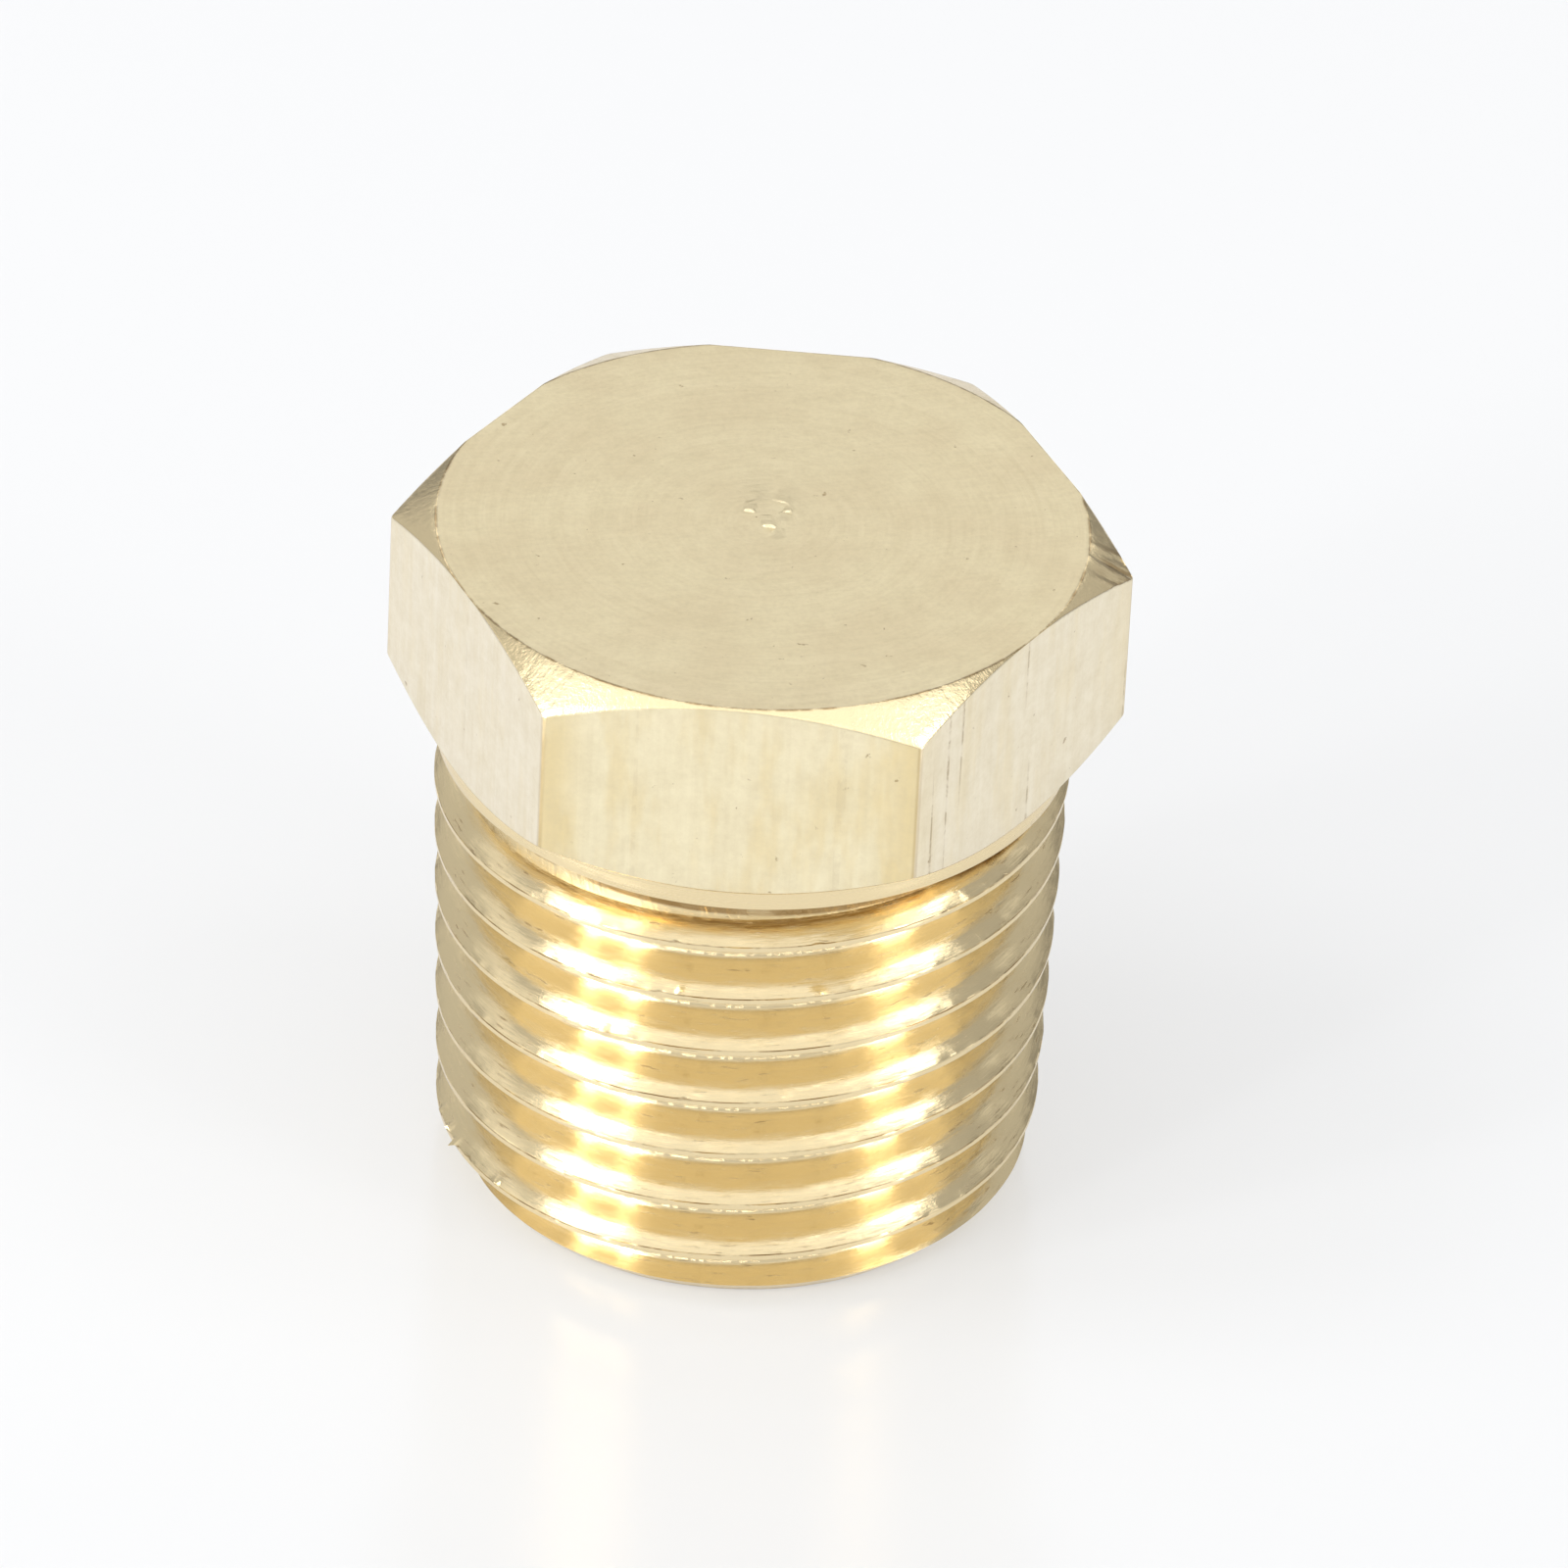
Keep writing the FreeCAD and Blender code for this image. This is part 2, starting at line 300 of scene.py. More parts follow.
def thread_section(thread):
    half_crest = thread.crest_width / 2
    root = [root_point(thread, degrees) for degrees in (0, 30, 60)]
    lower = [(-height, depth) for height, depth in root]
    lower += [between(lower[-1], (-half_crest, 0.0), part) for part in (0.35, 0.7)]
    crest = [
        (-half_crest - LIP, LIP * 2),
        (-half_crest + LIP, 0.0),
        (-half_crest * 0.2, 0.0),
        (half_crest * 0.62, 0.0),
        (half_crest * 0.80, 0.0),
        (half_crest + LIP * 0.4, 0.0),
        (half_crest + LIP * 2.0, LIP * 1.8),
    ]
    shoulder = [shoulder_point(thread, part) for part in (0.3, 0.6, 1.0)]
    flank = [between(shoulder[-1], root[2], part) for part in (0.35, 0.7)]
    return lower + crest + shoulder + flank + root[::-1]


def shoulder_point(thread, part):
    """A point of the fuller upper shoulder, which eases from its own slope into the flank's."""
    slope = math.tan(thread.shoulder_angle)
    ease = (slope - math.tan(thread.flank_angle / 2)) / 2
    depth = thread.shoulder_depth * part
    return thread.crest_width / 2 + (slope - ease * part) * depth, depth


def root_point(thread, degrees):
    """A point of the rounded root: its height above the crest's middle and its depth."""
    flank = math.radians(90) - thread.flank_angle / 2
    sharp = (thread.pitch - thread.crest_width) / 2 / math.tan(thread.flank_angle / 2)
    centre = sharp - thread.root_radius / math.cos(flank)
    swing = math.radians(degrees)
    return (
        thread.pitch / 2 - thread.root_radius * math.sin(swing),
        centre + thread.root_radius * math.cos(swing),
    )


def section_depth(section, offset):
    """Depth of the section below the crest's face at a height above the crest's middle."""
    for (low, low_depth), (high, high_depth) in zip(section, section[1:]):
        if low <= offset <= high:
            return low_depth + (high_depth - low_depth) * (offset - low) / (high - low)
    return section[0][1]


def section_offset(section, depth, upper):
    """Height on the upper or the lower flank where the section has a depth."""
    rows = section[LIP_ROW:] if upper else section[LOWER_EDGE_ROW + 1::-1]
    for (near, near_depth), (far, far_depth) in zip(rows, rows[1:]):
        if near_depth <= depth <= far_depth:
            return near + (far - near) * (depth - near_depth) / (far_depth - near_depth)
    return rows[-1][0]


def flank_row(thread, section, crest, row):
    """Height and depth of one row of a crest. A row on a flank slides up it where the core is too high."""
    offset, depth = section[row]
    for attempt in range(4):
        height = crest + offset
        allowed = crest_radius(thread, height) - core_radius(thread, height)
        if allowed >= depth - 1e-9:
            break
        offset = section_offset(section, allowed, row > LIP_ROW)
        depth = allowed
    return crest + offset, depth


# Torn places along the crests: turn, crest number, half width in radians, push outwards and push upwards

BURRS = (
    (-98.5, 6, 0.020, -0.04, 0.02), (-97.0, 5, 0.012, 0.06, 0.05), (-101.0, 5, 0.016, -0.04, 0.02),
    (-72.5, 5, 0.022, 0.06, 0.04), (-73.0, 6, 0.018, -0.04, 0.02), (-96.0, 3, 0.022, -0.04, 0.02),
    (-80.0, 3, 0.030, -0.04, -0.02), (-77.5, 3, 0.016, 0.04, 0.02), (-112.0, 4, 0.014, 0.06, 0.03),
    (-42.5, 6, 0.016, 0.01, 0.02), (-37.5, 6, 0.014, 0.01, 0.02), (-33.0, 6, 0.014, -0.03, 0.02),
    (-37.5, 5, 0.016, 0.01, 0.02), (-31.0, 5, 0.014, 0.01, 0.02), (-44.5, 0, 0.016, -0.03, 0.02),
    (-36.0, 0, 0.014, 0.02, 0.02), (-163.5, 0, 0.014, 0.07, 0.04), (-157.5, 0, 0.012, 0.09, 0.05),
    (-147.0, 0, 0.016, -0.05, 0.03), (-137.5, 0, 0.014, 0.05, 0.03), (-153.0, 0, 0.012, 0.24, -0.12),
)


def burr_push(turn, number):
    """How far the torn places push a crest's edge outwards and upwards."""
    outwards = upwards = 0.0
    for degrees, crest_number, half_width, out, up in BURRS:
        gap = math.remainder(turn - math.radians(degrees), FULL_TURN)
        turns_up = round((turn - gap - math.radians(degrees % 360)) / FULL_TURN)
        if number + turns_up == crest_number and abs(gap) < 2 * half_width:
            share_here = math.exp(-(gap / half_width) ** 2 * 1.5)
            outwards += out * MM * share_here
            upwards += up * MM * share_here
    return outwards, upwards


def torn_edge(thread, column, number, row, crest):
    """Outward and upward shift of one row of a crest, from the fold, the ragged lip and the torn places."""
    here = column.place(crest_radius(thread, crest), crest) / MM
    wave = noise.noise(here * 0.8)
    tear = noise.noise(here * 3.3 + Vector((7.0, 1.0, 4.0)))
    burr_out, burr_up = burr_push(column.turn, number)
    ragged = thread.ragged * (0.5 + 1.6 * max(wave, 0.0))
    if row == FOLD_ROW:
        open_fold = min(max(0.6 + 1.8 * noise.noise(here * 1.3 + Vector((3.0, 9.0, 2.0))), 0.0), 1.3)
        return -thread.fold_depth * open_fold + burr_out * 0.4, ragged * tear * 0.6 + burr_up * 0.5
    if row in (LIP_ROW, LIP_ROW + 1):
        return ragged * tear + burr_out, ragged * tear * 0.9 + burr_up
    if row in (FOLD_ROW - 1, LIP_ROW + 2):
        return ragged * tear * 0.3 + burr_out * 0.5, burr_up * 0.3
    if row in (LOWER_EDGE_ROW, LOWER_EDGE_ROW + 1):
        lower_tear = noise.noise(here * 2.6 + Vector((2.0, 5.0, 8.0)))
        return ragged * lower_tear * 0.6, ragged * lower_tear * 0.6
    return 0.0, 0.0


# Crests that the rows run through, counted from the first crest at +X

TURNS_BELOW = -1
TURNS_ABOVE = 7


def helix_rows(thread, column):
    """Rows of the shank, which follow the helix and are cut off by the neck and by the end's bevel."""
    neck_base = thread.shank_length - thread.neck_height
    section = thread_section(thread)
    rows = []
    row_above = neck_base
    for number in range(TURNS_ABOVE, TURNS_BELOW - 1, -1):
        crest = thread.first_crest + thread.pitch * (number + column.turn / FULL_TURN)
        for row in reversed(range(len(section))):
            height, depth = flank_row(thread, section, crest, row)
            height = row_above = min(height, row_above)
            out, up = torn_edge(thread, column, number, row, crest)
            if not 0.0 < height < neck_base:
                height = min(max(height, 0.0), neck_base)
                depth = depth_at(thread, section, column, height)
                out = up = 0.0
            radius = max(crest_radius(thread, height) - depth + out, core_radius(thread, height))
            rows.append((radius, min(max(height + up, 0.0), neck_base), THREAD, section[row][0]))
    return bevelled_rows(thread, column, rows)


def bevelled_rows(thread, column, rows):
    """The rows with the end's bevel cut off them, one of them right on the bevel's edge."""
    slope = 1 / math.tan(thread.end_bevel_angle)
    chatter = noise.noise(column.place(3.5, 0.0)) + 0.6 * noise.noise(column.place(12.0, 2.0))
    end_radius = thread.end_diameter / 2 - thread.end_bevel - thread.ragged * (0.8 - chatter)
    outside = [radius - end_radius - height * slope for radius, height, *rest in rows]
    cut = []
    for index, (radius, height, zone, offset) in enumerate(rows):
        if outside[index] > 0.0:
            inner = [near for near in (index - 1, index + 1) if near < len(rows) and outside[near] <= 0.0]
            if inner:
                share_out = outside[index] / (outside[index] - outside[inner[0]])
                radius, height = between((radius, height), rows[inner[0]], share_out)
            radius = end_radius + height * slope
        cut.append((radius, height, zone, offset))
    return cut


def depth_at(thread, section, column, height):
    """Depth of the thread's section at a height, from the crest that is nearest there."""
    turns = (height - thread.first_crest) / thread.pitch - column.turn / FULL_TURN
    return section_depth(section, (turns - round(turns)) * thread.pitch)


# Rows of the end face, as shares of its radius

END_ROWS = (0.985, 0.9, 0.6, 0.3, 0.0)


def column_rows(head, thread, column):
    upper = [(*row, 0.0) for row in head_rows(head, thread, column.side)]
    shank = helix_rows(thread, column)
    edge = shank[-1][0]
    return upper + shank + [(edge * part, 0.0, END, 0.0) for part in END_ROWS]


# Torn flakes of the pip in millimetres: place to the right and back, half width, half depth and height.
# A flake falls steeply at its front, or at its back where its half depth is negative

FLAKES = (
    (-0.43, 0.26, 0.13, 0.15, 0.048), (0.03, -0.30, 0.15, 0.16, 0.052), (0.38, 0.30, 0.08, 0.10, 0.040),
    (0.24, -0.60, 0.17, -0.13, 0.040), (0.36, 0.06, 0.12, -0.10, 0.020), (-0.05, -0.04, 0.10, -0.08, 0.024),
    (-1.00, -1.00, 0.09, 0.07, 0.010), (0.95, -0.72, 0.05, -0.05, 0.014), (-1.25, -0.42, 0.08, -0.05, 0.012),
)


def pip_relief(head, place):
    """Height of the torn pip that parting the plug off its bar left on the top."""
    here = (place - Vector((head.pip_right, head.pip_back, place.z))) / MM
    distance = here.length
    if distance > 2.0:
        return 0.0
    torn = noise.noise(here * 3.1 + Vector((4.0, 2.0, 0.0)))
    turn = math.degrees(math.atan2(here.y, here.x))
    off_edge = distance - head.pip_radius / MM
    arc = math.exp(-(off_edge / 0.045) ** 2 - ((turn - 66) / 30) ** 2) * 0.040
    arc += math.exp(-(off_edge / 0.05) ** 2 - ((turn - 125) / 25) ** 2) * 0.012
    middle = 0.018 * torn * max(0.0, 1.0 - (distance / 0.75) ** 2)
    return (arc + middle + sum(flake_height(here, torn, *flake) for flake in FLAKES)) * MM


def flake_height(here, torn, right, back, half_width, half_depth, height):
    """Height of one flake, which rises quickly on its steep side and falls off slowly behind."""
    across = (here.x - right) / half_width + torn * 0.5
    along = (here.y - back) / half_depth + torn * 0.6
    if abs(across) > 2.5 or not -1.0 < along < 2.0:
        return 0.0
    rise = (along + 1.0) / 0.35 if along < -0.65 else (2.0 - along) / 2.65
    return height * rise * math.exp(-across ** 4)


NICK_REACH = 1.3 * MM
NICK_DEPTH = 0.13 * MM
NICK_RISE = 0.03 * MM


def corner_reach(head):
    """Distance of the hexagon's sharp corner from its middle."""
    return head.across_flats / 2 / math.cos(SIDE_ANGLE / 2)


def corner_nick(head, place):
    """How far a knock moved the crown's metal up or down at the corner on +X."""
    here = (place - Vector((corner_reach(head), 0.0, head.height))) / MM
    closeness = max(0.0, 1.0 - here.length * MM / NICK_REACH)
    ridges = noise.noise(Vector((here.x * 2.2, here.y * 5.5, 3.0))) + 0.5 * noise.noise(here * 7.0)
    return min(NICK_DEPTH * closeness ** 0.7 * ridges, NICK_RISE) if closeness else 0.0


# Vertex attributes that the material reads. The haze and the scores are given for each flat, counted
# counter-clockwise from the corner on +X

TOP_ZONE = "faced_top"
CROWN_ZONE = "turned_crown"
FLAT_ZONE = "drawn_flat"
THREAD_ZONE = "cut_thread"
SECTION = "above_crest"
CORNER_GAP = "corner_gap"
HAZE = "haze"
SCORED = "scored"
FLAT_HAZE = (0.45, 0.5, 0.75, 0.95, 0.15, 0.8)
FLAT_SCORES = (0.6, 0.3, 0.5, 0.1, 0.15, 1.0)
SAME_PLACE = 0.00001 * MM
SHARP_EDGE = math.radians(42)


def plug_mesh(head, thread):
    """One closed skin: a grid wrapped round the axis, its rows led down the head and along the helix."""
    columns = plug_columns(head)
    strips = [column_rows(head, thread, column) for column in columns]
    last_column = len(columns) - 1
    last_row = len(strips[0]) - 1
    mesh = bmesh.new()
    bmesh.ops.create_grid(mesh, x_segments=last_column, y_segments=last_row, size=0.5)
    layers = {
        name: mesh.verts.layers.float.new(name)
        for name in (TOP_ZONE, CROWN_ZONE, FLAT_ZONE, THREAD_ZONE, SECTION, CORNER_GAP, HAZE, SCORED)
    }
    for vertex in mesh.verts:
        strip = round((vertex.co.x + 0.5) * last_column)
        column = columns[strip]
        radius, height, zone, section = strips[strip][round((vertex.co.y + 0.5) * last_row)]
        vertex.co = column.place(radius, height)
        if zone == TOP:
            vertex.co.z += pip_relief(head, vertex.co)
        elif zone == CROWN:
            vertex.co.z += corner_nick(head, vertex.co)
        vertex[layers[TOP_ZONE]] = float(zone == TOP)
        vertex[layers[CROWN_ZONE]] = float(zone == CROWN)
        vertex[layers[FLAT_ZONE]] = float(zone == FLAT)
        vertex[layers[THREAD_ZONE]] = float(zone == THREAD)
        vertex[layers[SECTION]] = section / MM
        vertex[layers[CORNER_GAP]] = column.corner_gap / MM
        vertex[layers[HAZE]] = FLAT_HAZE[column.flat_number]
        vertex[layers[SCORED]] = FLAT_SCORES[column.flat_number]
    bmesh.ops.remove_doubles(mesh, verts=mesh.verts, dist=SAME_PLACE)
    bmesh.ops.recalc_face_normals(mesh, faces=mesh.faces)
    for face in mesh.faces:
        face.smooth = True
    for edge in mesh.edges:
        edge.smooth = edge.calc_face_angle(0.0) < SHARP_EDGE
    return mesh


# Shader maths

class Wire:
    """A socket whose operators add the matching maths nodes."""

    def __init__(self, shader, socket):
        self.shader = shader
        self.socket = socket

    def maths(self, operation, *values, clamp=False):
        return self.shader.add(
            "ShaderNodeMath", {"operation": operation, "use_clamp": clamp}, dict(enumerate(values))
        )

    def __add__(self, other):
        return self.maths("ADD", self, other)

    def __radd__(self, other):
        return self.maths("ADD", other, self)

    def __sub__(self, other):
        return self.maths("SUBTRACT", self, other)

    def __rsub__(self, other):
        return self.maths("SUBTRACT", other, self)

    def __mul__(self, other):
        return self.maths("MULTIPLY", self, other)

    def __rmul__(self, other):
        return self.maths("MULTIPLY", other, self)

    def __truediv__(self, other):
        return self.maths("DIVIDE", self, other)

    def __rtruediv__(self, other):
        return self.maths("DIVIDE", other, self)

    def __pow__(self, other):
        return self.maths("POWER", self, other)

    def absolute(self):
        return self.maths("ABSOLUTE", self)

    def clamped(self):
        return self.maths("ADD", self, 0.0, clamp=True)

    def step(self, low, high):
        """0 below low and 1 above high, with a smooth rise between."""
        return self.shader.add(
            "ShaderNodeMapRange", {"interpolation_type": "SMOOTHSTEP"},
            {"Value": self, "From Min": low, "From Max": high},
        )


class Shader:
    """Builds one material's nodes."""

    def __init__(self, name):
        self.material = bpy.data.materials.new(name)
        self.material.use_nodes = True
        self.tree = self.material.node_tree
        self.tree.nodes.clear()

    def add(self, kind, settings=None, inputs=None, output=0):
        node = self.tree.nodes.new(kind)
        for key, value in (settings or {}).items():
            setattr(node, key, value)
        for key, value in (inputs or {}).items():
            if isinstance(value, Wire):
                self.tree.links.new(value.socket, node.inputs[key])
            elif node.inputs[key].type == "RGBA":
                node.inputs[key].default_value = (*value[:3], 1.0)
            else:
                node.inputs[key].default_value = value
        return Wire(self, node.outputs[output]) if node.outputs else None

    def attribute(self, name):
        return self.add("ShaderNodeAttribute", {"attribute_name": name}, output="Fac")

    def place(self):
        return self.add("ShaderNodeTexCoord", output="Object")

    def parts(self, vector):
        node = self.add("ShaderNodeSeparateXYZ", inputs={0: vector}).socket.node
        return [Wire(self, socket) for socket in node.outputs]

    def join(self, x, y, z):
        return self.add("ShaderNodeCombineXYZ", inputs={0: x, 1: y, 2: z})

    def noise(self, vector, scale, detail=2.0, roughness=0.5):
        return self.add(
            "ShaderNodeTexNoise", inputs={
                "Vector": vector, "Scale": scale, "Detail": detail, "Roughness": roughness,
            },
        )

    def bump(self, distance, height):
        return self.add("ShaderNodeBump", inputs={"Strength": 1.0, "Distance": distance, "Height": height})

    def mix(self, factor, first, second):
        return self.add("ShaderNodeMix", {"data_type": "RGBA"}, {0: factor, 6: first, 7: second}, output=2)

    def surface(self, settings):
        return self.add("ShaderNodeBsdfPrincipled", inputs=settings)

    def mix_surfaces(self, factor, first, second):
        return self.add("ShaderNodeMixShader", inputs={0: factor, 1: first, 2: second})

    def finish(self, surface):
        self.add("ShaderNodeOutputMaterial", inputs={"Surface": surface})
        return self.material


class BrassMarks:
    """The plug's zones, and the patterns that the bar and the tools left on them, as wires."""

    def __init__(self, shader):
        self.top = shader.attribute(TOP_ZONE)
        self.crown = shader.attribute(CROWN_ZONE)
        self.flat = shader.attribute(FLAT_ZONE)
        self.thread = shader.attribute(THREAD_ZONE)
        self.section = shader.attribute(SECTION)
        self.corner_gap = shader.attribute(CORNER_GAP)
        self.haze = shader.attribute(HAZE)
        self.scored = shader.attribute(SCORED)
        self.turned = (1.0 - self.top - self.flat - self.thread - self.crown).clamped()
        place = shader.place()
        self.x, self.y, self.z = shader.parts(place)
        self.radius = (self.x * self.x + self.y * self.y) ** 0.5
        self.add_blotches(shader, place)
        self.add_bar_marks(shader)
        self.add_lathe_marks(shader)

    def add_blotches(self, shader, place):
        self.grain = shader.noise(place, 9 * PER_MM, 3.0, 0.65)
        self.cloud = shader.noise(place, 0.6 * PER_MM, 3.0, 0.55)
        self.blotch = shader.noise(place, 1.9 * PER_MM, 4.0, 0.65)
        self.specks = shader.noise(place, 3.4 * PER_MM, 3.0, 0.6)

    def add_bar_marks(self, shader):
        """Long upright marks from drawing the bar, and scratches across the top."""
        right, back, up = self.x * PER_MM, self.y * PER_MM, self.z * PER_MM
        self.streaks = shader.noise(shader.join(right * 5, back * 5, up * 0.16), 1.0, 3.0, 0.6)
        self.scores = shader.noise(shader.join(right * 4.4, back * 4.4, up * 0.06), 1.0, 2.0, 0.5)
        self.bands = shader.noise(shader.join(right * 1.3, back * 1.3, up * 0.30), 1.0, 3.0, 0.6)
        self.scratches = shader.noise(
            shader.join((right + back * 0.3) * 0.8, (back - right * 0.3) * 9, up), 1.0, 3.0, 0.6
        )

    def add_lathe_marks(self, shader):
        """Rings on the top, chatter on the crown, rings on the turned parts and cuts along the thread."""
        right, back, up = self.x * PER_MM, self.y * PER_MM, self.z * PER_MM
        out = self.radius * PER_MM
        along_x = self.x / (self.radius + 0.01 * MM)
        along_y = self.y / (self.radius + 0.01 * MM)
        self.rings = shader.noise(shader.join(out * 10, along_x * 1.3, along_y * 1.3), 1.0, 4.0, 0.7)
        self.chatter = shader.noise(shader.join(along_x * 26, along_y * 26, out * 1.2), 1.0, 3.0, 0.6)
        self.lathe = shader.noise(shader.join(right * 0.35, back * 0.35, (up + out) * 16), 1.0, 3.0, 0.65)
        self.cuts = shader.noise(
            shader.join(right * 1.5, back * 1.5, self.section * 24 + up * 0.5), 1.0, 3.0, 0.6
        )


def clean_tone(shader, finish, marks):
    """Tone of the metal: bright where it was cut, paler and greyer where it was drawn or faced."""
    top, flat, haze, cloud = marks.top, marks.flat, marks.haze, marks.cloud
    edge_gold = (1.0 - marks.corner_gap.step(0.10, 1.0)) * flat * (1.0 - haze) * 1.2
    patches = marks.bands.step(0.48, 0.70) * (1.0 - haze * 0.75) * 0.7
    golden = (edge_gold * cloud.step(0.15, 0.5) + patches).clamped()
    drawn = shader.mix(haze, tuple(finish.dull_brass), tuple(finish.hazy_brass))
    drawn = shader.mix(golden, drawn, tuple(finish.tarnish))
    faced = shader.mix(cloud.step(0.3, 0.7) * 0.5, tuple(finish.faced_brass), tuple(finish.dull_brass))
    return shader.mix(top, shader.mix(flat, tuple(finish.brass), drawn), faced)


def worn_share(marks):
    """How much of the worn tone shows through, from the rings, streaks, cuts and grain."""
    rings, streaks, scratches = marks.rings - 0.5, marks.streaks - 0.5, marks.scratches - 0.5
    grain, blotch, chatter = marks.grain - 0.5, marks.blotch - 0.5, marks.chatter - 0.5
    worn = marks.top * (rings * 0.45 + grain * 0.75 + blotch * 0.6 + scratches * 0.4)
    worn += marks.flat * (streaks * 0.45 + blotch * 0.8 + grain * 0.4)
    worn += marks.crown * chatter * 0.4
    worn += marks.thread * marks.cuts.step(0.58, 0.74) * 0.35
    return (0.16 + worn).clamped()


def head_dirt(head, marks):
    """Small dark marks, scores down the flats, lines along the edges and the knocked corner."""
    top, crown, flat, blotch = marks.top, marks.crown, marks.flat, marks.blotch
    pits = marks.specks.step(0.70, 0.76) * (top * 0.6 + flat * 0.6)
    score_lines = marks.scores.step(0.64, 0.70) * flat * marks.scored
    score_lines *= blotch.step(0.40, 0.56) * 0.5 + 0.08
    upright_edge = (1.0 - marks.corner_gap.step(0.03, 0.09)) * flat * 0.35
    rim_gap = (marks.radius - (head.across_flats / 2 + head.crown_margin)).absolute()
    on_rim = (top + crown).clamped() * blotch.step(0.40, 0.60)
    rim_line = (1.0 - rim_gap.step(0.012 * MM, 0.05 * MM)) * on_rim * 0.65
    nick_gap = ((marks.x - corner_reach(head)) ** 2.0 + marks.y * marks.y) ** 0.5
    knocked = (1.0 - nick_gap.step(0.35 * MM, 1.35 * MM)) * crown * marks.chatter.step(0.42, 0.62) * 0.7
    return pits + score_lines + upright_edge + rim_line + knocked


def thread_scratches_and_shade(thread_sizes, marks):
    """Painted shade as dark lines on both sides of each crest and under the collar, a dark line along the
    foot that is partly a brown rim and partly painted contact shade, and tool scratches.
    """
    thread, section, cloud = marks.thread, marks.section, marks.cloud
    half_crest = thread_sizes.crest_width / 2 * PER_MM
    # Painted shade in the fold along the upper edge of each crest, broken into patches.
    fold_gap = (section - half_crest * 0.8).absolute()
    fold_shade_patches = marks.blotch.step(0.34, 0.52) * (0.25 + cloud.step(0.42, 0.62) * 0.70)
    fold_shade = (1.0 - fold_gap.step(0.006, 0.024)) * thread * fold_shade_patches
    # Painted shade along the lower edge of each crest, where the lower flank turns away underneath.
    lower_gap = (section + (half_crest + LIP * PER_MM)).absolute()
    lower_edge_shade = (1.0 - lower_gap.step(0.004, 0.018)) * thread * cloud.step(0.40, 0.56) * 0.60
    tool_scratches = marks.cuts.step(0.63, 0.70) * thread * cloud.step(0.36, 0.60) * 0.55
    # Painted shadow on the neck, just under the collar's edge.
    neck_gap = (neck_radius(thread_sizes) + 0.25 * MM - marks.radius).step(0.0, 0.05 * MM)
    neck_corner = (marks.z - (thread_sizes.shank_length - 0.59 * MM)).step(0.0, 0.08 * MM)
    shade_under_collar = neck_corner * neck_gap * (thread + marks.turned) * cloud.step(0.25, 0.5) * 0.90
    # Dark line along the foot: partly a brown rim, partly painted contact shade next to the floor.
    foot_line = (1.0 - (marks.z - marks.grain * (0.06 * MM)).step(0.0, 0.03 * MM)) * thread * 0.75
    return fold_shade + lower_edge_shade + tool_scratches + shade_under_collar + foot_line


def brass_roughness(finish, marks):
    rough = marks.top * (finish.top_roughness + (marks.rings - 0.5) * 0.22)
    rough += marks.crown * (finish.crown_roughness + (marks.chatter - 0.5) * 0.25)
    rough += marks.flat * (finish.flat_roughness + (marks.streaks - 0.5) * 0.15)
    rough += marks.thread * (finish.thread_roughness + (marks.cuts - 0.5) * 0.60)
    return rough + marks.turned * (finish.turned_roughness + (marks.lathe - 0.5) * 0.15)


def brass_relief(marks):
    grain, blotch = marks.grain, marks.blotch
    relief = marks.top * (marks.rings * 0.5 + grain * 0.5 + marks.scratches * 0.6 + blotch * 0.8)
    relief += marks.crown * (marks.chatter * 0.8 + grain * 0.6 + blotch * 0.5)
    relief += marks.flat * (marks.streaks * 0.5 + grain * 0.35 + blotch * 0.5)
    relief += marks.thread * (marks.cuts * 0.46 + grain * 0.10 + blotch * 0.12)
    return relief + marks.turned * (marks.lathe * 0.5 + grain * 0.15)


MARK_DEPTH = 0.012 * MM


def brass_material(finish, head, thread_sizes):
    """Brass with a faced top, a turned crown, drawn flats and a cut thread."""
    shader = Shader("turned_brass")
    marks = BrassMarks(shader)
    tone = shader.mix(worn_share(marks), clean_tone(shader, finish, marks), tuple(finish.worn_brass))
    # Small dark marks and scratches, together with painted shade on the thread, all in the stain colour.
    dirt_and_shade = (head_dirt(head, marks) + thread_scratches_and_shade(thread_sizes, marks)).clamped()
    metal = {
        "Base Color": shader.mix(dirt_and_shade, tone, tuple(finish.stain_and_shade)),
        "Metallic": 1.0,
        "Roughness": brass_roughness(finish, marks),
        "Normal": shader.bump(MARK_DEPTH, brass_relief(marks)),
    }
    turned_metal = metal | {"Anisotropic": finish.turning_marks, "Anisotropic Rotation": 0.25}
    return shader.finish(
        shader.mix_surfaces(marks.thread, shader.surface(metal), shader.surface(turned_metal))
    )


def floor_material(studio):
    """A pale table, lit a little from below so that shadows on it stay faint."""
    shader = Shader("pale_floor")
    return shader.finish(shader.surface({
        "Base Color": tuple(studio.floor_colour),
        "Roughness": 0.20,
        "Specular IOR Level": 0.5,
        "Emission Color": (1.0, 1.0, 1.0),
        "Emission Strength": studio.floor_glow,
    }))


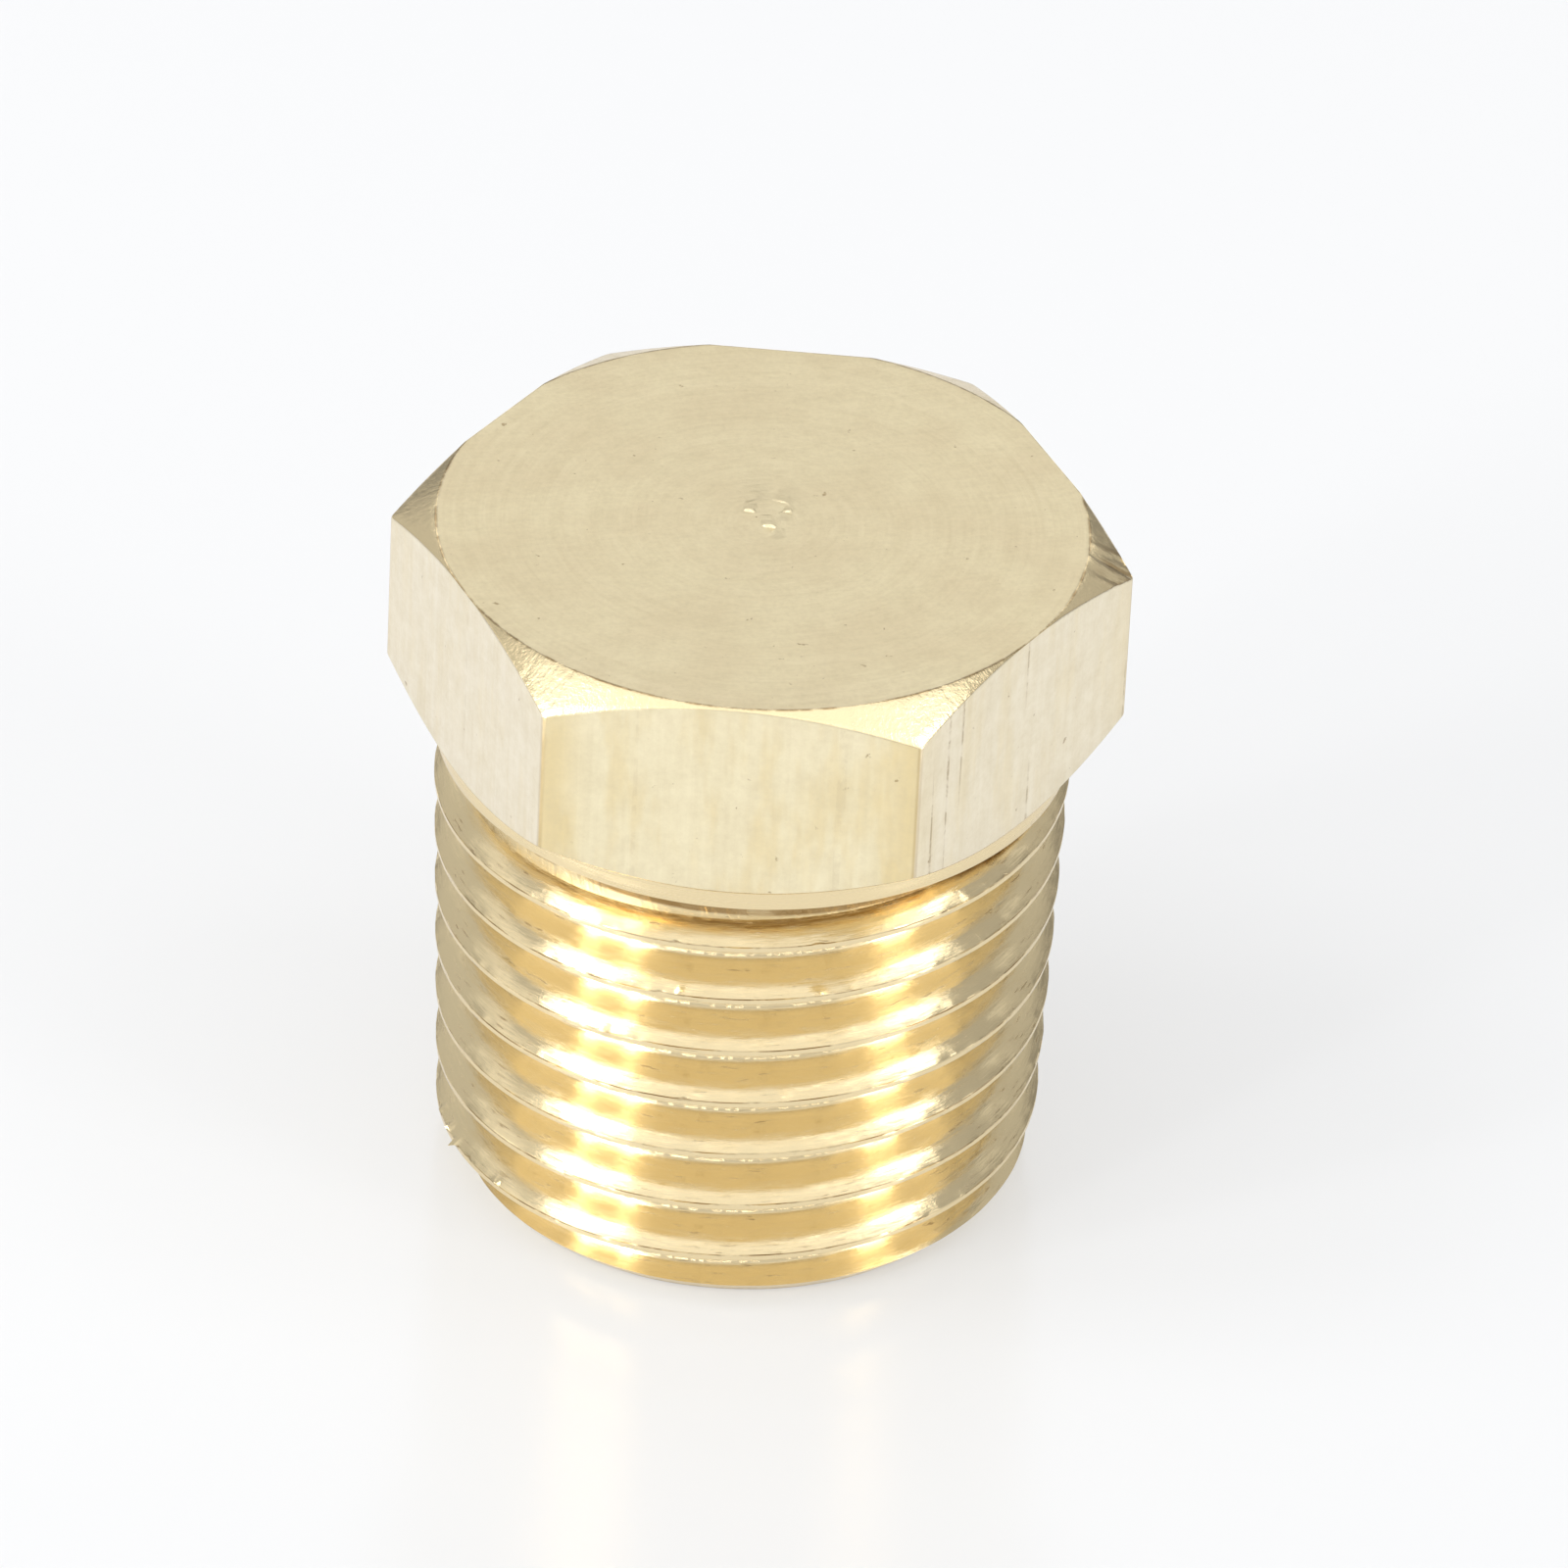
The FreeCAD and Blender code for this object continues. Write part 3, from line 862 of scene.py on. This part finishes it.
class PLUG_OT_body(bpy.types.Operator):
    """Model the whole plug as one closed skin and give it its brass"""
    bl_idname = "plug.body"
    bl_label = "Plug Body"

    def execute(self, context):
        scene = context.scene
        mesh = plug_mesh(scene.plug_head, scene.plug_thread)
        if any(not edge.is_manifold for edge in mesh.edges):
            raise RuntimeError("The plug's skin isn't closed, so its sizes don't fit each other")
        data = bpy.data.meshes.new("turned_plug")
        mesh.to_mesh(data)
        mesh.free()
        plug = bpy.data.objects.new("turned_plug", data)
        scene.collection.objects.link(plug)
        data.materials.append(brass_material(scene.plug_finish, scene.plug_head, scene.plug_thread))
        weighted = plug.modifiers.new("even_shading", "WEIGHTED_NORMAL")
        weighted.weight = 80
        weighted.keep_sharp = True
        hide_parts(NODE)
        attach(plug, "root")
        return {"FINISHED"}


FLOOR_RADIUS = 2.0

# Panels of light round the plug: name, direction from it in the camera's turn, distance, width, height
# and brightness

PANELS = (
    ("overhead", (0.0, 0.04, 1.0), 0.50, 0.60, 0.30, 1.05),
    ("front_ceiling", (0.0, -0.58, 0.86), 0.60, 1.20, 0.52, 0.76),
    ("front_wall", (0.0, -0.96, 0.30), 0.66, 0.90, 0.36, 0.42),
    ("left_softbox", (-0.57, -0.07, 0.82), 0.46, 0.13, 0.15, 5.0),
    ("right_softbox", (0.52, -0.02, 0.84), 0.46, 0.08, 0.13, 3.8),
    ("left_ceiling", (-0.66, 0.14, 0.72), 0.56, 0.40, 0.30, 0.28),
    ("right_ceiling", (0.70, 0.10, 0.70), 0.56, 0.34, 0.30, 0.20),
    ("back_panel", (0.0, 0.82, 0.57), 0.60, 0.62, 0.24, 0.88),
    ("left_wall", (-0.90, -0.42, 0.22), 0.68, 0.80, 0.42, 0.75),
    ("left_front_wall", (-0.78, -0.60, 0.30), 0.62, 0.30, 0.40, 2.7),
    ("right_wall", (0.88, -0.46, 0.22), 0.68, 0.64, 0.42, 0.78),
    ("left_side", (-0.88, 0.04, 0.46), 0.62, 0.34, 0.30, 0.45),
    ("left_strip", (-0.87, -0.48, 0.30), 0.60, 0.05, 0.40, 9.5),
    ("left_front_strip", (-0.68, -0.73, 0.30), 0.60, 0.05, 0.40, 8.5),
    ("right_strip", (0.84, -0.52, 0.30), 0.60, 0.14, 0.40, 4.6),
    ("back_left_fill", (-0.66, 0.62, 0.42), 0.62, 0.40, 0.42, 0.32),
    ("back_right_fill", (0.66, 0.56, 0.52), 0.62, 0.34, 0.28, 0.26),
)


def light_panel(name, direction, distance, width, height, brightness, turn):
    """A flat panel of light that faces the plug."""
    light = bpy.data.lights.new(name, "AREA")
    light.shape = "RECTANGLE"
    light.size = width
    light.size_y = height
    light.energy = brightness * math.pi * width * height
    lamp = bpy.data.objects.new(name, light)
    away = Matrix.Rotation(turn, 3, "Z") @ Vector(direction).normalized()
    middle = Vector((0.0, 0.0, NODE_HIGH.z / 2))
    facing = away.to_track_quat("Z", "Y").to_matrix().to_4x4()
    lamp.matrix_world = Matrix.Translation(middle + away * distance) @ facing
    bpy.context.scene.collection.objects.link(lamp)


class PLUG_OT_studio(bpy.types.Operator):
    """Set the pale floor, the soft lights and the camera"""
    bl_idname = "plug.studio"
    bl_label = "Studio"

    def execute(self, context):
        scene = context.scene
        studio = scene.plug_studio
        self.add_floor(scene, studio)
        self.add_room(scene, studio)
        self.add_camera(scene, studio)
        return {"FINISHED"}

    def add_floor(self, scene, studio):
        mesh = bmesh.new()
        bmesh.ops.create_circle(mesh, cap_ends=True, radius=FLOOR_RADIUS, segments=64)
        data = bpy.data.meshes.new("studio_floor")
        mesh.to_mesh(data)
        mesh.free()
        floor = bpy.data.objects.new("studio_floor", data)
        scene.collection.objects.link(floor)
        data.materials.append(floor_material(studio))

    def add_room(self, scene, studio):
        world = bpy.data.worlds.new("studio_room")
        world.use_nodes = True
        world.node_tree.nodes["Background"].inputs["Color"].default_value = (1.0, 1.0, 1.0, 1.0)
        world.node_tree.nodes["Background"].inputs["Strength"].default_value = studio.surround
        scene.world = world
        scene.view_settings.view_transform = "Standard"
        for panel in PANELS:
            light_panel(*panel, studio.azimuth)

    def add_camera(self, scene, studio):
        outward = Vector((
            math.sin(studio.azimuth) * math.cos(studio.elevation),
            -math.cos(studio.azimuth) * math.cos(studio.elevation),
            math.sin(studio.elevation),
        ))
        level_right = Vector((math.cos(studio.azimuth), math.sin(studio.azimuth), 0.0))
        level_up = outward.cross(level_right)
        aim = Vector((0.0, 0.0, scene.plug_head.height))
        aim += level_right * studio.aim_right + level_up * studio.aim_up
        right = level_right * math.cos(studio.roll) + level_up * math.sin(studio.roll)
        up = level_up * math.cos(studio.roll) - level_right * math.sin(studio.roll)
        data = bpy.data.cameras.new("camera")
        data.lens = studio.lens
        data.sensor_width = 36.0
        data.clip_start = 0.01
        camera = bpy.data.objects.new("camera", data)
        camera.matrix_world = Matrix.Translation(aim + outward * studio.distance) @ Matrix(
            (right, up, outward)
        ).transposed().to_4x4()
        scene.collection.objects.link(camera)
        scene.camera = camera


class PLUG_PT_panel(bpy.types.Panel):
    """The plug's sizes, finish and studio"""
    bl_idname = "PLUG_PT_panel"
    bl_label = "Hex Head Pipe Plug"
    bl_space_type = "VIEW_3D"
    bl_region_type = "UI"
    bl_category = "Plug"

    def draw(self, context):
        for name in ("plug_head", "plug_thread", "plug_finish", "plug_studio"):
            group = getattr(context.scene, name)
            box = self.layout.box()
            for key in group.bl_rna.properties.keys():
                if key not in ("rna_type", "name"):
                    box.prop(group, key)
        for operator in (PLUG_OT_body, PLUG_OT_studio):
            self.layout.operator(operator.bl_idname)


GROUPS = {
    "plug_head": PlugHeadSizes,
    "plug_thread": PlugThreadSizes,
    "plug_finish": PlugFinish,
    "plug_studio": PlugStudio,
}
CLASSES = (*GROUPS.values(), PLUG_OT_body, PLUG_OT_studio, PLUG_PT_panel)


def register():
    for cls in CLASSES:
        bpy.utils.register_class(cls)
    for name, group in GROUPS.items():
        setattr(bpy.types.Scene, name, bpy.props.PointerProperty(type=group))


def unregister():
    for name in GROUPS:
        delattr(bpy.types.Scene, name)
    for cls in reversed(CLASSES):
        bpy.utils.unregister_class(cls)


def main():
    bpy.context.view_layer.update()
    register()
    bpy.ops.plug.body()
    bpy.ops.plug.studio()


if __name__ == "__main__":
    main()
